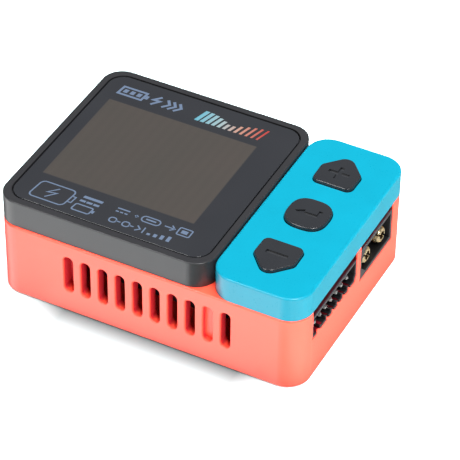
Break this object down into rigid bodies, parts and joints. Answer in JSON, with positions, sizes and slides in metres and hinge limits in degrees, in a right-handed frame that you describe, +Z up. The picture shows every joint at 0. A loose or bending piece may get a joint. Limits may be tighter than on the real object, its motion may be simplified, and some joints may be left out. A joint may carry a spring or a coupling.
{
  "type": "balance battery charger",
  "caption": "Pocket balance battery charger: coral vented housing, dark display bezel, blue three-button panel, power sockets on both ends and a balance header.",
  "frame": {"origin": "on the floor under the middle of the housing, level with the bottoms of the rubber feet", "axes": "+X towards the output and balance sockets, -Y the vented front with the display reading upright from it, +Z up"},
  "size_m": [0.0698, 0.0506, 0.0245],
  "materials": {
    "coral_plastic": "fine satin moulded plastic, coral red",
    "blue_plastic": "fine satin moulded plastic, cyan blue",
    "bezel_plastic": "fine spark-eroded charcoal plastic",
    "key_plastic": "smooth charcoal key plastic",
    "window_glass": "polished cover glass",
    "mask_ink": "black printed ink film",
    "lcd_glass": "grey-brown polariser",
    "tray_plastic": "white diffuser plastic",
    "gasket_foam": "black foam tape",
    "flex_film": "amber polyimide film",
    "white_plastic": "natural nylon",
    "screw_steel": "zinc-plated, passivated",
    "foot_rubber": "matte silicone rubber",
    "board_laminate": "black solder mask on glass-epoxy laminate",
    "socket_plastic": "black glass-filled nylon",
    "gold_plate": "gold-plated brass, polished",
    "tin_plate": "bright tin plate",
    "usb_steel": "drawn nickel-plated steel",
    "sink_aluminium": "clear-anodised, extruded",
    "pad_silicone": "grey-blue thermal silicone",
    "chip_epoxy": "black moulding compound",
    "core_ferrite": "pressed ferrite powder",
    "winding_copper": "enamelled copper",
    "can_aluminium": "drawn bare can",
    "shunt_metal": "matte resistor alloy",
    "chip_ceramic": "tan ceramic",
    "buzzer_plastic": "black moulded plastic",
    "fan_plastic": "black glass-filled polyester",
    "bearing_brass": "sintered, oiled",
    "stator_steel": "laminated electrical steel",
    "magnet_ferrite": "bonded ferrite",
    "shaft_steel": "ground steel",
    "lead_plastic": "soft vinyl insulation",
    "plunger_plastic": "black moulded plastic",
    "switch_metal": "stamped cover over a plastic base"
  },
  "bodies": {
    "case": {"main_housing": "coral_plastic", "bottom_cover": "coral_plastic", "housing_screws": "screw_steel", "rubber_feet": "foot_rubber", "display_bezel": "bezel_plastic", "display_window": "window_glass", "display_gasket": "gasket_foam", "display_mask": "mask_ink", "lcd_panel": "lcd_glass", "backlight_tray": "tray_plastic", "foam_strips": "gasket_foam", "flex_cable": "flex_film", "display_connector": "white_plastic", "button_panel": "blue_plastic", "top_cover_screws": "screw_steel", "main_board": "board_laminate", "board_screws": "screw_steel", "output_socket_shroud": "socket_plastic", "output_socket_pins": "gold_plate", "input_socket_shroud": "socket_plastic", "input_socket_pins": "gold_plate", "balance_header": "socket_plastic", "balance_header_pins": "tin_plate", "usb_c_shell": "usb_steel", "usb_c_tongue": "socket_plastic", "heatsink": "sink_aluminium", "thermal_pad": "pad_silicone", "power_transistors": "chip_epoxy", "inductor_cores": "core_ferrite", "inductor_windings": "winding_copper", "capacitors": "can_aluminium", "shunt_resistors": "shunt_metal", "controller_chip": "chip_epoxy", "driver_chips": "chip_epoxy", "chip_parts": "chip_ceramic", "buzzer": "buzzer_plastic", "fan_frame": "fan_plastic", "fan_bearing": "bearing_brass", "fan_stator": "stator_steel", "fan_plug": "white_plastic", "fan_lead": "lead_plastic", "up_switch_body": "switch_metal", "enter_switch_body": "switch_metal", "down_switch_body": "switch_metal"},
    "up_button": {"up_button_cap": "key_plastic", "up_switch_plunger": "plunger_plastic"},
    "enter_button": {"enter_button_cap": "key_plastic", "enter_switch_plunger": "plunger_plastic"},
    "down_button": {"down_button_cap": "key_plastic", "down_switch_plunger": "plunger_plastic"},
    "fan_rotor": {"fan_rotor": "fan_plastic", "fan_magnet": "magnet_ferrite", "fan_shaft": "shaft_steel"}
  },
  "joints": [
    {"name": "up_press", "type": "slide", "parent": "case", "child": "up_button", "axis": [0, 0, -1], "range_m": [0, 0.0005], "stiffness_N_per_m": 400, "springref_m": -0.0005},
    {"name": "enter_press", "type": "slide", "parent": "case", "child": "enter_button", "axis": [0, 0, -1], "range_m": [0, 0.0005], "stiffness_N_per_m": 400, "springref_m": -0.0005},
    {"name": "down_press", "type": "slide", "parent": "case", "child": "down_button", "axis": [0, 0, -1], "range_m": [0, 0.0005], "stiffness_N_per_m": 400, "springref_m": -0.0005},
    {"name": "fan_spin", "type": "hinge", "parent": "case", "child": "fan_rotor", "pos_m": [-0.001, 0, 0.0065], "axis": [0, 0, 1], "continuous": true}
  ]
}
